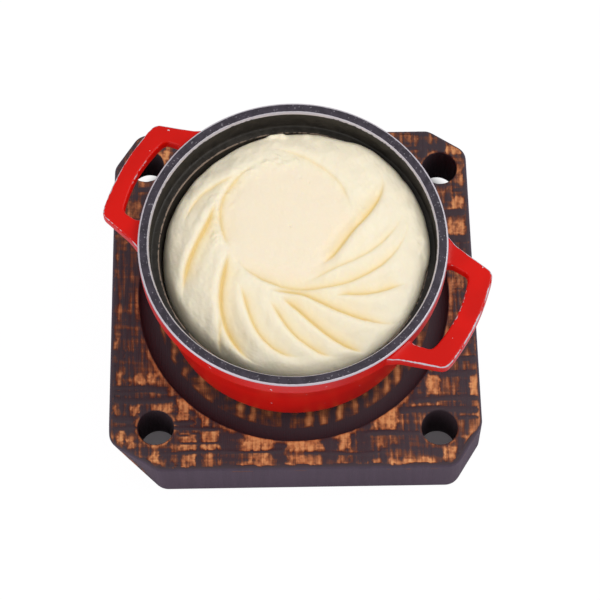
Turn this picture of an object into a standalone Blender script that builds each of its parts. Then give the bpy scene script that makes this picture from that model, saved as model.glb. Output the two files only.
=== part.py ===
"""Mashed potato served in a small cast-iron cocotte on its fitted wooden board.

Metres, +Z up. The origin is the centre of the board's underside, +X runs along
the board's front edge and -Y faces the person who eats. Three solids are made:
serving_board, cocotte (with its two handles cast on) and mashed_potato.
"""
import math

import bmesh
import bpy
import numpy as np

# Board
BOARD_THICK = 0.0225
BOARD_EDGE_ROUND = 0.0018
BOARD_CORNER_ROUND = 0.006
# Corners of the hand-sawn outline, anticlockwise from the front right
BOARD_CORNERS = ((0.0578, -0.068), (0.0678, -0.052), (0.0662, 0.059), (0.0523, 0.068),
                 (-0.058, 0.068), (-0.0672, 0.054), (-0.068, -0.057), (-0.050, -0.068))
# The front left cut leans in: how far its ends move at the underside
CUT_LEAN_SIDE = 0.0075
CUT_LEAN_FRONT = 0.0005
BOARD_HOLE_RADIUS = 0.0066
BOARD_HOLES = ((0.0522, -0.0531), (0.0560, 0.0518), (-0.0552, 0.0546), (-0.0509, -0.0514))
RECESS_RADIUS = 0.0573
RECESS_FLOOR_RADIUS = 0.0515
RECESS_DEPTH = 0.0045
RECESS_LIP = 0.0012

# Cocotte
GAP = 0.0003
POT_BASE_Z = BOARD_THICK - RECESS_DEPTH + GAP
POT_HEIGHT = 0.052
POT_RIM_Z = POT_BASE_Z + POT_HEIGHT
RIM_RADIUS = 0.055
RIM_INNER_RADIUS = 0.0518
RIM_CHAMFER = 0.0008
LEDGE_DROP = 0.010
LEDGE_Z = POT_RIM_Z - LEDGE_DROP
LEDGE_INNER_RADIUS = 0.0479
LEDGE_CHAMFER = 0.0004
BAND_HEIGHT = 0.0076
BAND_STEP = 0.0007
WALL_TOP_RADIUS = 0.0528
WALL_FOOT_RADIUS = 0.048
FOOT_ROUND = 0.009
FLOOR_THICK = 0.0045
FLOOR_Z = POT_BASE_Z + FLOOR_THICK
INNER_FOOT_RADIUS = 0.044
INNER_FOOT_ROUND = 0.008

# Handles: flat cast loops, turned a little off the board's X axis
HANDLE_TURNS = (math.radians(-26.2), math.radians(152.3))
HANDLE_TOP_Z = POT_RIM_Z - 0.0028
HANDLE_THICK = 0.0046
HANDLE_EDGE_ROUND = 0.0009
HANDLE_ROOT_RADIUS = 0.0534
HANDLE_ROOT_HALF = 0.0245
# Outer and inner middle of each bar: the left handle is cast a little shorter
HANDLE_BAR_X = ((0.0711, 0.0636), (0.0687, 0.0623))
HANDLE_BOW = 0.0022
HANDLE_TIP_HALF = 0.0202
SLOT_ROOT_HALF = 0.0164
SLOT_BOW = 0.0024
SLOT_TIP_HALF = 0.0158
# The bars' bows are arcs of these radii, whose corners stand out this far
BAR_ROUND = 0.09
BAR_CROWN = 0.0012
SLOT_ROUND = 0.05
SLOT_CROWN = 0.0010
HANDLE_CORNER = 0.0036
SLOT_CORNER = 0.0026

# Mash: a round spoon-pressed patch near the back, and lobes that fan out to the wall
PATCH_X = -0.002
PATCH_Y = 0.0095
PATCH_RADIUS = 0.0225
PATCH_SHARE = 0.42
PATCH_Z = 0.0652
PATCH_DISH = 0.0004
EDGE_Z = 0.057
EDGE_TILT = 0.0042
EDGE_TILT_ANGLE = math.radians(20)
EDGE_ROLL = 0.008
LEDGE_LAP = 0.0011
GROOVE_STEEP = 0.0016
GROOVE_GENTLE = 0.0044
CREST_SHARE = 0.30
CREST_OFFSET = 0.0035
CREST_WIDTH = 0.0022
# Each spoon stroke: start angle and sweep in degrees about the patch's centre, start and
# end radius in mm, two bends of its run outwards (early, late) and its depth in mm
STROKES = (
    (5, 97, 23.5, 31, 2.0, 1.0, 0.7),
    (300, 92, 20, 39, 4.5, 2.6, 1.5),
    (278, 90, 23, 42.5, 3.2, 1.5, 0.9),
    (205, 160, 23, 43.5, 4.0, 2.2, 1.7),
    (298, 34, 32.5, 49, 1.5, 1.0, 1.3),
    (252, 66, 26, 56, 3.5, 1.5, 1.5),
    (262, 40, 29.5, 56.5, 2.5, 2.0, 1.6),
    (255, 34, 30, 53.5, 1.5, 1.5, 1.3),
    (230, 46, 29, 50.5, 2.0, 2.6, 1.3),
    (204, 54, 23, 53.5, 1.5, 1.5, 1.9),
    (234, 12, 39, 54.5, 1.0, 1.5, 0.9),
    (110, 98, 27.5, 22.5, 0.8, 1.0, 1.5),
    (158, 58, 26.5, 46.5, 2.0, 1.0, 1.7),
    (128, 50, 25.5, 38, 1.0, 1.0, 0.9),
)
STROKE_SAMPLES = 48
# The torn lump that stands up at the back edge
LUMP_X = -0.0058
LUMP_Y = 0.0440
LUMP_HEIGHT = 0.0022
LUMP_SPREAD = 0.0030

POT_STEPS = 64
MASH_STEPS = 88
MASH_PATCH_RINGS = 7
MASH_SLOPE_RINGS = 15
HOLE_STEPS = 32


def clear_scene():
    """Empty the scene that the script starts in."""
    for item in list(bpy.data.objects):
        bpy.data.objects.remove(item, do_unlink=True)


def new_collection(name):
    collection = bpy.data.collections.new(name)
    bpy.context.scene.collection.children.link(collection)
    return collection


def new_material(name, colour, roughness, metallic):
    """A Principled material in one plain colour."""
    material = bpy.data.materials.new(name)
    material.use_nodes = True
    shader = material.node_tree.nodes["Principled BSDF"]
    shader.inputs["Base Color"].default_value = (*colour, 1.0)
    shader.inputs["Roughness"].default_value = roughness
    shader.inputs["Metallic"].default_value = metallic
    return material


def filleted(corners, steps):
    """Outline points for corners (x, y, radius), each corner an arc of its radius."""
    points = []
    count = len(corners)
    for index, (x, y, radius) in enumerate(corners):
        corner = np.array((x, y))
        back = np.array(corners[index - 1][:2]) - corner
        ahead = np.array(corners[(index + 1) % count][:2]) - corner
        back /= np.linalg.norm(back)
        ahead /= np.linalg.norm(ahead)
        if radius == 0:
            points.append((x, y))
            continue
        half = math.acos(float(np.clip(back @ ahead, -1, 1))) / 2
        reach = radius / math.tan(half)
        middle = corner + (back + ahead) / np.linalg.norm(back + ahead) * radius / math.sin(half)
        first = corner + back * reach - middle
        last = corner + ahead * reach - middle
        turn = math.atan2(first[0] * last[1] - first[1] * last[0], first @ last)
        for step in range(steps + 1):
            angle = turn * step / steps
            points.append((middle[0] + first[0] * math.cos(angle) - first[1] * math.sin(angle),
                           middle[1] + first[0] * math.sin(angle) + first[1] * math.cos(angle)))
    return points


def arc(centre_x, centre_z, radius, start, end, steps):
    """Profile points (x, z) on an arc; the angles are in degrees from +X towards +Z."""
    return [(centre_x + radius * math.cos(math.radians(start + (end - start) * step / steps)),
             centre_z + radius * math.sin(math.radians(start + (end - start) * step / steps)))
            for step in range(steps + 1)]


def bake(item):
    """Replace an object by the mesh that its curve and modifiers make, in place."""
    evaluated = item.evaluated_get(bpy.context.evaluated_depsgraph_get())
    mesh = bpy.data.meshes.new_from_object(evaluated)
    name, place, collections = item.name, item.matrix_world.copy(), list(item.users_collection)
    bpy.data.objects.remove(item, do_unlink=True)
    mesh.name = name
    baked = bpy.data.objects.new(name, mesh)
    baked.matrix_world = place
    for collection in collections:
        collection.objects.link(baked)
    return baked


def weld(item):
    """Join coincident points and point every face outwards."""
    shape = bmesh.new()
    shape.from_mesh(item.data)
    bmesh.ops.remove_doubles(shape, verts=shape.verts, dist=0.00001)
    bmesh.ops.recalc_face_normals(shape, faces=shape.faces)
    shape.to_mesh(item.data)
    shape.free()


def plate(name, outline, low_z, high_z, collection):
    """A flat outline, given its thickness between two heights."""
    curve = bpy.data.curves.new(name, "CURVE")
    curve.dimensions = "2D"
    curve.fill_mode = "BOTH"
    curve.extrude = (high_z - low_z) / 2
    spline = curve.splines.new("POLY")
    spline.points.add(len(outline) - 1)
    for point, (x, y) in zip(spline.points, outline):
        point.co = (x, y, 0, 1)
    spline.use_cyclic_u = True
    item = bpy.data.objects.new(name, curve)
    item.location.z = (low_z + high_z) / 2
    collection.objects.link(item)
    bpy.context.view_layer.update()
    item = bake(item)
    weld(item)
    return item


def turned(name, profile, steps, collection):
    """A profile (radius, z), from its top middle down the outer side, spun about Z."""
    mesh = bpy.data.meshes.new(name)
    mesh.from_pydata([(x, 0, z) for x, z in profile],
                     [(index, index + 1) for index in range(len(profile) - 1)], [])
    item = bpy.data.objects.new(name, mesh)
    collection.objects.link(item)
    screw = item.modifiers.new("turn", "SCREW")
    screw.steps = steps
    screw.render_steps = steps
    screw.use_merge_vertices = True
    screw.merge_threshold = 0.0001
    screw.use_smooth_shade = True
    bpy.context.view_layer.update()
    return bake(item)


def round_edges(item, width, segments):
    """Round the sharp edges of a plate."""
    bevel = item.modifiers.new("round", "BEVEL")
    bevel.width = width
    bevel.segments = segments
    bevel.limit_method = "ANGLE"
    bevel.angle_limit = math.radians(60)


def combine(item, other, operation):
    """Cut another closed shape from an object, or join it on."""
    boolean = item.modifiers.new(other.name, "BOOLEAN")
    boolean.operation = operation
    boolean.solver = "EXACT"
    boolean.object = other


def hide_guide(item):
    item.hide_render = True
    item.display_type = "WIRE"


def smooth(item, degrees):
    """Shade round faces smooth and keep edges sharper than the angle."""
    item.data.shade_smooth()
    item.data.set_sharp_from_angle(angle=math.radians(degrees))


def board_outline(lean):
    """Outline of the board; `lean` is 0 for the top and 1 for the underside."""
    corners = [(x, y, BOARD_CORNER_ROUND) for x, y in BOARD_CORNERS]
    x, y, radius = corners[6]
    corners[6] = (x, y + CUT_LEAN_SIDE * lean, radius)
    x, y, radius = corners[7]
    corners[7] = (x + CUT_LEAN_FRONT * lean, y, radius)
    return filleted(corners, 4)


def leaning_plate(name, low, high, low_z, high_z, collection):
    """A closed shape between two outlines of as many points, one above the other."""
    count = len(low)
    points = [(x, y, low_z) for x, y in low] + [(x, y, high_z) for x, y in high]
    faces = [tuple(reversed(range(count))), tuple(range(count, 2 * count))]
    for index in range(count):
        after = (index + 1) % count
        faces.append((index, after, count + after, count + index))
    mesh = bpy.data.meshes.new(name)
    mesh.from_pydata(points, [], faces)
    item = bpy.data.objects.new(name, mesh)
    collection.objects.link(item)
    weld(item)
    return item


def make_board(parts, guides):
    """The thick board with its round recess and four corner holes."""
    board = leaning_plate("serving_board", board_outline(1), board_outline(0), 0, BOARD_THICK,
                          parts)
    round_edges(board, BOARD_EDGE_ROUND, 2)
    floor_z = BOARD_THICK - RECESS_DEPTH
    cove = RECESS_RADIUS - RECESS_FLOOR_RADIUS
    lip_z = BOARD_THICK - RECESS_LIP
    profile = [(0, BOARD_THICK + 0.002), (RECESS_RADIUS, BOARD_THICK + 0.002)]
    for step in range(5):
        angle = math.radians(90 * step / 4)
        profile.append((RECESS_FLOOR_RADIUS + cove * math.cos(angle),
                        lip_z - (lip_z - floor_z) * math.sin(angle)))
    profile.append((0, floor_z))
    recess = turned("recess_cutter", profile, POT_STEPS, guides)
    combine(board, recess, "DIFFERENCE")
    hide_guide(recess)
    for index, (hole_x, hole_y) in enumerate(BOARD_HOLES):
        bpy.ops.mesh.primitive_cylinder_add(
            vertices=HOLE_STEPS, radius=BOARD_HOLE_RADIUS, depth=3 * BOARD_THICK,
            location=(hole_x, hole_y, BOARD_THICK / 2))
        cutter = bpy.context.active_object
        cutter.name = f"hole_cutter_{index + 1}"
        for collection in list(cutter.users_collection):
            collection.objects.unlink(cutter)
        guides.objects.link(cutter)
        combine(board, cutter, "DIFFERENCE")
        hide_guide(cutter)
    bpy.context.view_layer.update()
    board = bake(board)
    smooth(board, 30)
    return board


def pot_profile():
    """Radius and height round the wall: inner floor, ledge, rim, band, foot."""
    rim_z, band_z = POT_RIM_Z, POT_RIM_Z - BAND_HEIGHT
    inner_centre = INNER_FOOT_RADIUS - INNER_FOOT_ROUND
    inside = [(0, FLOOR_Z)]
    inside += arc(inner_centre, FLOOR_Z + INNER_FOOT_ROUND, INNER_FOOT_ROUND, -90, 0, 4)
    inside += [(LEDGE_INNER_RADIUS, LEDGE_Z - LEDGE_CHAMFER),
               (LEDGE_INNER_RADIUS + LEDGE_CHAMFER, LEDGE_Z),
               (RIM_INNER_RADIUS - LEDGE_CHAMFER, LEDGE_Z),
               (RIM_INNER_RADIUS, LEDGE_Z + LEDGE_CHAMFER),
               (RIM_INNER_RADIUS, rim_z - RIM_CHAMFER),
               (RIM_INNER_RADIUS + RIM_CHAMFER, rim_z)]
    outside = [(RIM_RADIUS - RIM_CHAMFER, rim_z),
               (RIM_RADIUS, rim_z - RIM_CHAMFER),
               (RIM_RADIUS, band_z + BAND_STEP / 2),
               (RIM_RADIUS - BAND_STEP / 2, band_z),
               (WALL_TOP_RADIUS, band_z - BAND_STEP)]
    outside += arc(WALL_FOOT_RADIUS - FOOT_ROUND, POT_BASE_Z + FOOT_ROUND, FOOT_ROUND, 0, -90, 5)
    outside += [(0, POT_BASE_Z)]
    return inside + outside


def handle_outline(outer_x, inner_x):
    """A loop that is open towards the pot, where its two arms end inside the wall."""
    root_outer_x = math.sqrt(HANDLE_ROOT_RADIUS ** 2 - HANDLE_ROOT_HALF ** 2)
    root_inner_x = math.sqrt(HANDLE_ROOT_RADIUS ** 2 - SLOT_ROOT_HALF ** 2)
    half = [(root_outer_x, HANDLE_ROOT_HALF, 0),
            (outer_x - HANDLE_BOW, HANDLE_TIP_HALF, HANDLE_CORNER),
            (outer_x + BAR_CROWN, 0, BAR_ROUND)]
    slot = [(inner_x + SLOT_CROWN, 0, SLOT_ROUND), (inner_x - SLOT_BOW, SLOT_TIP_HALF, SLOT_CORNER),
            (root_inner_x, SLOT_ROOT_HALF, 0)]
    mirrored = [(x, -y, radius) for x, y, radius in reversed(half[:2])]
    slot_mirrored = [(x, -y, radius) for x, y, radius in reversed(slot[1:])]
    corners = half + mirrored + slot_mirrored + slot
    return filleted(corners[::-1], 5)


def make_cocotte(parts, guides):
    """The turned pot with its lid ledge, and two handles cast on."""
    pot = turned("cocotte", pot_profile(), POT_STEPS, parts)
    for index, (turn, (outer_x, inner_x)) in enumerate(zip(HANDLE_TURNS, HANDLE_BAR_X)):
        handle = plate(f"handle_guide_{index + 1}", handle_outline(outer_x, inner_x),
                       HANDLE_TOP_Z - HANDLE_THICK, HANDLE_TOP_Z, guides)
        handle.rotation_euler.z = turn
        round_edges(handle, HANDLE_EDGE_ROUND, 2)
        combine(pot, handle, "UNION")
        hide_guide(handle)
    bpy.context.view_layer.update()
    pot = bake(pot)
    smooth(pot, 35)
    return pot


def smoothstep(value):
    value = np.clip(value, 0, 1)
    return value * value * (3 - 2 * value)


def pot_inner_radius(z):
    """Radius of the pot's inner wall below the ledge, with its rounded foot."""
    foot_z = FLOOR_Z + INNER_FOOT_ROUND
    taper = (LEDGE_INNER_RADIUS - INNER_FOOT_RADIUS) / (LEDGE_Z - foot_z)
    below = np.clip((foot_z - z) / INNER_FOOT_ROUND, 0, 1)
    return (INNER_FOOT_RADIUS + taper * np.clip(z - foot_z, 0, None)
            - INNER_FOOT_ROUND * (1 - np.sqrt(1 - below ** 2)))


def edge_height(angle):
    """Height at which the mash meets the wall: highest at the right, with small waves."""
    return (EDGE_Z + EDGE_TILT * np.cos(angle - EDGE_TILT_ANGLE)
            + 0.00035 * np.sin(7 * angle + 1) + 0.00025 * np.sin(13 * angle + 2))


def edge_radius(angle):
    """Plan radius of the edge: at the wall, or lapped on to the ledge where it is high."""
    height = edge_height(angle)
    wall = pot_inner_radius(np.minimum(height, LEDGE_Z - 0.0008)) - GAP
    return wall + LEDGE_LAP * smoothstep((height - LEDGE_Z - 0.0002) / 0.0008)


def stroke_relief(x, y):
    """Height that the spoon's strokes add (crests) or take out (creases) at (x, y).

    A stroke's line runs out from the patch as radius = start + (end - start) * s, where
    s = 1 - (1 - u^early)^late and u is the share of its sweep. Beside the line the
    surface falls as depth * exp(-distance / width), steep on the outer side, gentle on
    the inner side, and a low crest follows the steep side.
    """
    relief = np.zeros_like(x)
    share = np.linspace(0, 1, STROKE_SAMPLES)
    for start, sweep, inner, outer, early, late, depth in STROKES:
        angle = np.radians(start + sweep * share)
        radius = (inner + (outer - inner) * (1 - (1 - share ** early) ** late)) / 1000
        line_x = PATCH_X + radius * np.cos(angle)
        line_y = PATCH_Y + radius * np.sin(angle)
        along_x, along_y = np.gradient(line_x), np.gradient(line_y)
        away_x, away_y = x[:, None] - line_x, y[:, None] - line_y
        distance = np.hypot(away_x, away_y)
        near = distance.argmin(axis=1)
        rows = np.arange(len(x))
        inward = along_x[near] * away_y[rows, near] - along_y[near] * away_x[rows, near] > 0
        distance = distance[rows, near]
        fade = smoothstep(share[near] / 0.25) * smoothstep((1 - share[near]) / 0.2)
        width = np.where(inward, GROOVE_GENTLE, GROOVE_STEEP)
        crest = np.exp(-((distance - CREST_OFFSET) / CREST_WIDTH) ** 2) * ~inward
        relief += depth / 1000 * fade * (CREST_SHARE * crest - np.exp(-distance / width))
    return relief


def mash_top(share, angle):
    """Place of the top surface at a share 0..1 of the way from the patch to the wall."""
    out = np.clip((share - PATCH_SHARE) / (1 - PATCH_SHARE), 0, 1)
    edge = edge_radius(angle)
    radius = np.where(share < PATCH_SHARE, PATCH_RADIUS * share / PATCH_SHARE,
                      PATCH_RADIUS + (edge - PATCH_RADIUS) * out)
    x = PATCH_X * (1 - out) + radius * np.cos(angle)
    y = PATCH_Y * (1 - out) + radius * np.sin(angle)
    fall = PATCH_Z - edge_height(angle)
    to_edge = (edge - PATCH_RADIUS) * (1 - out)
    roll = 1 - np.sqrt(1 - np.clip(1 - to_edge / EDGE_ROLL, 0, 1) ** 2)
    dish = PATCH_DISH * (1 - np.clip(share / PATCH_SHARE, 0, 1) ** 2)
    lump = LUMP_HEIGHT * np.exp(-((x - LUMP_X) ** 2 + (y - LUMP_Y) ** 2) / LUMP_SPREAD ** 2)
    hold = smoothstep(to_edge / 0.004)
    z = PATCH_Z - dish - fall * (0.5 * out ** 2 + 0.5 * roll) + lump * (0.4 + 0.6 * hold)
    return x, y, z + stroke_relief(x, y) * hold


def mash_side(share, angle):
    """Place of the side at a share 0..1 of the way down from the edge to the floor."""
    top_z = np.minimum(edge_height(angle) - 0.0009, LEDGE_Z - 0.0004)
    bottom_z = FLOOR_Z + GAP
    z = top_z + (bottom_z - top_z) * share
    radius = pot_inner_radius(z) - GAP * (1 + share)
    return radius * np.cos(angle), radius * np.sin(angle), z


def make_mash(parts):
    """A turned drum whose rings are carried to the spooned top and the pot's wall."""
    patch = [PATCH_SHARE * ring / MASH_PATCH_RINGS for ring in range(MASH_PATCH_RINGS)]
    slope = [PATCH_SHARE + (1 - PATCH_SHARE) * math.sin(math.pi / 2 * ring / MASH_SLOPE_RINGS)
             for ring in range(MASH_SLOPE_RINGS + 1)]
    side = (0, 0.4, 0.78, 0.9, 0.975)
    profile = [(share, 1) for share in patch + slope]
    profile += [(1, -share) for share in side] + [(0, -1)]
    mash = turned("mashed_potato", profile, MASH_STEPS, parts)
    points = np.empty(len(mash.data.vertices) * 3)
    mash.data.vertices.foreach_get("co", points)
    points = points.reshape(-1, 3)
    share = np.hypot(points[:, 0], points[:, 1])
    angle = np.arctan2(points[:, 1], points[:, 0])
    level = points[:, 2]
    top = np.stack(mash_top(share, angle), axis=1)
    below = np.stack(mash_side(-level, angle), axis=1)
    below[level < -0.99] = (0, 0, FLOOR_Z + GAP)
    points = np.where((level > 0.5)[:, None], top, below)
    mash.data.vertices.foreach_set("co", points.ravel())
    mash.data.update()
    smooth(mash, 60)
    return mash


def main():
    clear_scene()
    parts = new_collection("mashed_potato_side")
    guides = new_collection("cutters")
    board = make_board(parts, guides)
    board.data.materials.clear()
    board.data.materials.append(new_material("charred_wood", (0.17, 0.08, 0.05), 0.6, 0.0))
    pot = make_cocotte(parts, guides)
    pot.data.materials.clear()
    pot.data.materials.append(new_material("red_enamel", (0.60, 0.02, 0.02), 0.3, 0.0))
    mash = make_mash(parts)
    mash.data.materials.clear()
    mash.data.materials.append(new_material("potato", (0.90, 0.78, 0.56), 0.5, 0.0))


main()
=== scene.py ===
"""Looks of the mashed potato side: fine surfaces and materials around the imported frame.

Every length in the functions below is in millimetres until `put_in` writes a mesh in
metres. Angles run anticlockwise from +X, seen from above.
"""
import math

import bmesh
import bpy
import numpy as np
from bpy.props import FloatProperty, FloatVectorProperty, PointerProperty
from mathutils import Matrix, Vector
from mathutils.geometry import delaunay_2d_cdt


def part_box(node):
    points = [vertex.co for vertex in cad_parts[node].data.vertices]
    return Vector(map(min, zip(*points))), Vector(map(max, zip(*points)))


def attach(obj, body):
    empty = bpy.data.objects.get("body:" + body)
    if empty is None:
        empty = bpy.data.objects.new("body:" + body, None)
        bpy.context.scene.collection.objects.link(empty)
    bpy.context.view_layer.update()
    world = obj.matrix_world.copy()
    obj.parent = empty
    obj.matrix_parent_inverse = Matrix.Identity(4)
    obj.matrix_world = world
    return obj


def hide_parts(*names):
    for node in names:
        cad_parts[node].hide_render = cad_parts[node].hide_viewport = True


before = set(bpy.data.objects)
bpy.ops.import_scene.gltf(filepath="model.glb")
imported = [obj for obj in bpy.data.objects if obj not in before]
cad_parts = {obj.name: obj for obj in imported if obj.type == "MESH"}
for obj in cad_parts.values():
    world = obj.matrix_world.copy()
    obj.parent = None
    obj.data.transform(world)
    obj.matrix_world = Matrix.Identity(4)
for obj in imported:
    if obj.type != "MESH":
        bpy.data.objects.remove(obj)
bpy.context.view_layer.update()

bl_info = {
    "name": "Mashed potato side",
    "version": (1, 0, 0),
    "blender": (4, 5, 0),
    "location": "View3D > Sidebar > Mashed potato",
    "description": "Builds the potato, its enamelled cocotte, the charred board and the stage",
    "category": "Add Mesh",
}

MM = 0.001
BOARD_HALF, _, BOARD_TOP = (float(value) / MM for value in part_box("serving_board")[1])
POT_BASE = float(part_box("cocotte")[0][2]) / MM
_, RIM_RADIUS, RIM_Z = (float(value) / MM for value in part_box("cocotte")[1])


def srgb(red, green, blue):
    """Linear colour of an 8-bit sRGB one: ((c + 0.055) / 1.055) ^ 2.4."""
    return tuple(((c / 255 + 0.055) / 1.055) ** 2.4 if c > 10 else c / 255 / 12.92
                 for c in (red, green, blue))


# --- Settings ---------------------------------------------------------------------------

def length(name, description, default, low=0.0, high=0.2):
    return FloatProperty(name=name, description=description, default=default, min=low, max=high,
                         unit="LENGTH", subtype="DISTANCE", precision=5)


def share(name, description, default, low=0.0, high=2.0):
    return FloatProperty(name=name, description=description, default=default, min=low, max=high,
                         subtype="FACTOR")


def colour(name, description, default):
    return FloatVectorProperty(name=name, description=description, default=default, size=3,
                               min=0, max=1, subtype="COLOR")


class PotatoSettings(bpy.types.PropertyGroup):
    patch_radius: length("Patch radius", "Radius of the spoon-pressed patch", 0.0225)
    patch_height: length("Patch height", "Height of the patch above the table", 0.0652)
    groove: share("Groove depth", "Multiplies the depth of every spoon stroke", 1.1)
    flesh: colour("Flesh", "Colour of the crests", srgb(252, 240, 214))
    # Crease colour is painted shade: a warmer, darker tone laid down in the creases.
    crease_shade_colour: colour("Hollow", "Warmer colour down in the creases", srgb(240, 209, 130))
    pressed: colour("Pressed patch", "Colour of the smoothed patch", srgb(252, 236, 210))


class CocotteSettings(bpy.types.PropertyGroup):
    enamel: colour("Enamel", "Colour of the outside", srgb(216, 18, 8))
    lining: colour("Lining", "Colour of the dark enamel inside", srgb(50, 46, 41))
    rim: colour("Rim", "Colour of the speckled rim", srgb(58, 52, 62))
    # Bare metal also serves as a painted highlight on the rim's inner bevel.
    bare: colour("Bare metal", "Colour of the worn edges", srgb(205, 199, 207))
    # Pale colour of the lining's rubbed edges, partly a painted highlight along its inner bevel
    # and ledge edge.
    worn_and_highlit_edge: colour("Dull edge", "Colour of the lining's rubbed edges", srgb(140, 122, 108))
    wear: share("Edge wear", "How much metal shows along the edges", 1.0)


class BoardSettings(bpy.types.PropertyGroup):
    relief: length("Relief", "How far the brushed wood lies below the char lines", 0.0006)
    wood: colour("Wood", "Bare brushed wood", srgb(188, 118, 72))
    pale: colour("Pale wood", "Worn wood along edges", srgb(226, 160, 102))
    scorched: colour("Scorched wood", "Half burnt wood", srgb(108, 60, 38))
    char: colour("Char", "Burnt wood on the top", srgb(60, 46, 53))
    # The sides' char is lighter and more purple than the top's: a painted sheen of the white room
    # on the burnt sides.
    side: colour("Side char", "Burnt wood on the sides", srgb(74, 61, 76))


class StageSettings(bpy.types.PropertyGroup):
    distance: length("Camera distance", "From the camera to its target", 0.9195, 0.1, 5.0)
    lens: FloatProperty(name="Lens", description="Focal length for a 36 mm sensor",
                        default=150.17, min=10, max=400, unit="CAMERA")
    azimuth: FloatProperty(name="Azimuth", description="Turn of the camera about Z",
                           default=math.radians(0.37), subtype="ANGLE")
    elevation: FloatProperty(name="Elevation", description="Angle of the camera above the table",
                             default=math.radians(66.6), subtype="ANGLE")
    roll: FloatProperty(name="Roll", description="Turn of the camera about its view",
                        default=math.radians(-0.55), subtype="ANGLE")
    key: FloatProperty(name="Key light", description="Power of the large soft lamp",
                       default=3.7, min=0, unit="POWER")
    fill: FloatProperty(name="Fill light", description="Power of the lamp at the front left",
                        default=4.3, min=0, unit="POWER")
    ambient: share("Ambient", "Brightness of the white room", 0.58)


# --- Shape tools ------------------------------------------------------------------------

def smoothstep(value):
    """0 to 1 with flat ends: v^2 (3 - 2 v)."""
    value = np.clip(value, 0, 1)
    return value * value * (3 - 2 * value)


def bell(distance, width):
    """exp(-(distance / width)^2)."""
    return np.exp(-(distance / width) ** 2)


def waves(x, y, wavelength, seed):
    """Soft uneven field of about -1..1: the mean of plane waves of random direction.

    Wavelengths spread from 0.6 to 1.6 of the named one.
    """
    count = 14
    draw = np.random.default_rng(seed)
    heading = draw.uniform(0, 2 * math.pi, count)
    size = wavelength * draw.uniform(0.6, 1.6, count)
    start = draw.uniform(0, 2 * math.pi, count)
    total = np.zeros(np.shape(x))
    for turn, long, phase in zip(heading, size, start):
        total += np.sin(2 * math.pi * (x * math.cos(turn) + y * math.sin(turn)) / long + phase)
    return total * math.sqrt(2 / count) / 1.4


def grid_faces(rows, columns):
    """Quads between the rows and columns of a grid, whose last column joins the first."""
    row, column = np.meshgrid(np.arange(rows - 1), np.arange(columns), indexing="ij")
    row, column = row.ravel(), column.ravel()
    after = (column + 1) % columns
    return np.stack([row * columns + column, row * columns + after,
                     (row + 1) * columns + after, (row + 1) * columns + column], axis=1)


def revolve(profile, steps):
    """Points of a profile (radius, z) turned about Z: (r cos a, r sin a, z)."""
    profile = np.asarray(profile, dtype=float)
    angle = np.linspace(0, 2 * math.pi, steps, endpoint=False)
    radius, height = profile[:, 0, None], profile[:, 1, None]
    return np.stack([radius * np.cos(angle), radius * np.sin(angle),
                     np.broadcast_to(height, (len(profile), steps))], axis=-1)


def arc(x, z, radius, start, end, steps):
    """Points on a circle about (x, z), from one angle to another in degrees."""
    angle = np.radians(np.linspace(start, end, steps + 1))
    return np.stack([x + radius * np.cos(angle), z + radius * np.sin(angle)], axis=1)


def bend(before, corner, after, radius):
    """Arc of a radius that touches both sides of a corner, in 12 steps."""
    corner = np.array(corner, dtype=float)
    back, ahead = np.array(before) - corner, np.array(after) - corner
    back, ahead = back / np.linalg.norm(back), ahead / np.linalg.norm(ahead)
    half = math.acos(float(np.clip(back @ ahead, -1, 1))) / 2
    middle = corner + (back + ahead) / np.linalg.norm(back + ahead) * radius / math.sin(half)
    first = corner + back * radius / math.tan(half) - middle
    last = corner + ahead * radius / math.tan(half) - middle
    turn = math.atan2(first[0] * last[1] - first[1] * last[0], first @ last)
    angle = np.linspace(0, turn, 13)
    return middle + np.stack([first[0] * np.cos(angle) - first[1] * np.sin(angle),
                              first[0] * np.sin(angle) + first[1] * np.cos(angle)], axis=1)


def filleted(corners, count):
    """Closed outline through corners (x, y, radius), rounded, as `count` even points."""
    arcs = [bend(corners[index - 1][:2], corner[:2], corners[(index + 1) % len(corners)][:2],
                 corner[2]) for index, corner in enumerate(corners)]
    return spaced(np.concatenate(arcs), count, closed=True)


def spaced(points, count, closed=False):
    """The same line as `count` points an even distance apart."""
    if closed:
        points = np.concatenate([points, points[:1]])
    along = np.concatenate([[0], np.cumsum(np.linalg.norm(np.diff(points, axis=0), axis=1))])
    at = np.linspace(0, along[-1], count, endpoint=not closed)
    return np.stack([np.interp(at, along, points[:, 0]), np.interp(at, along, points[:, 1])], 1)


def put_in(name, points, faces, values=(), weld=0.002):
    """Object from points in mm; `values` are (name, one number a point) attributes.

    Points closer than `weld` mm become one, which closes seams and poles.
    """
    mesh = bpy.data.meshes.new(name)
    mesh.from_pydata((points.reshape(-1, 3) * MM).tolist(), [], faces.tolist()
                     if isinstance(faces, np.ndarray) else faces)
    for label, numbers in values:
        layer = mesh.attributes.new(label, "FLOAT", "POINT")
        layer.data.foreach_set("value", np.ascontiguousarray(numbers, dtype=np.float32).ravel())
    shape = bmesh.new()
    shape.from_mesh(mesh)
    bmesh.ops.remove_doubles(shape, verts=shape.verts, dist=weld * MM)
    bmesh.ops.recalc_face_normals(shape, faces=shape.faces)
    shape.to_mesh(mesh)
    shape.free()
    mesh.shade_smooth()
    item = bpy.data.objects.new(name, mesh)
    bpy.context.scene.collection.objects.link(item)
    return item


# --- Node tools -------------------------------------------------------------------------

def group_of(name, inputs, outputs):
    """New shader node group; inputs are (name, socket type, default), outputs (name, type)."""
    group = bpy.data.node_groups.new(name, "ShaderNodeTree")
    for label, kind, default in inputs:
        socket = group.interface.new_socket(label, in_out="INPUT", socket_type=kind)
        socket.default_value = default
    for label, kind in outputs:
        group.interface.new_socket(label, in_out="OUTPUT", socket_type=kind)
    return group, group.nodes.new("NodeGroupInput"), group.nodes.new("NodeGroupOutput")


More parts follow.
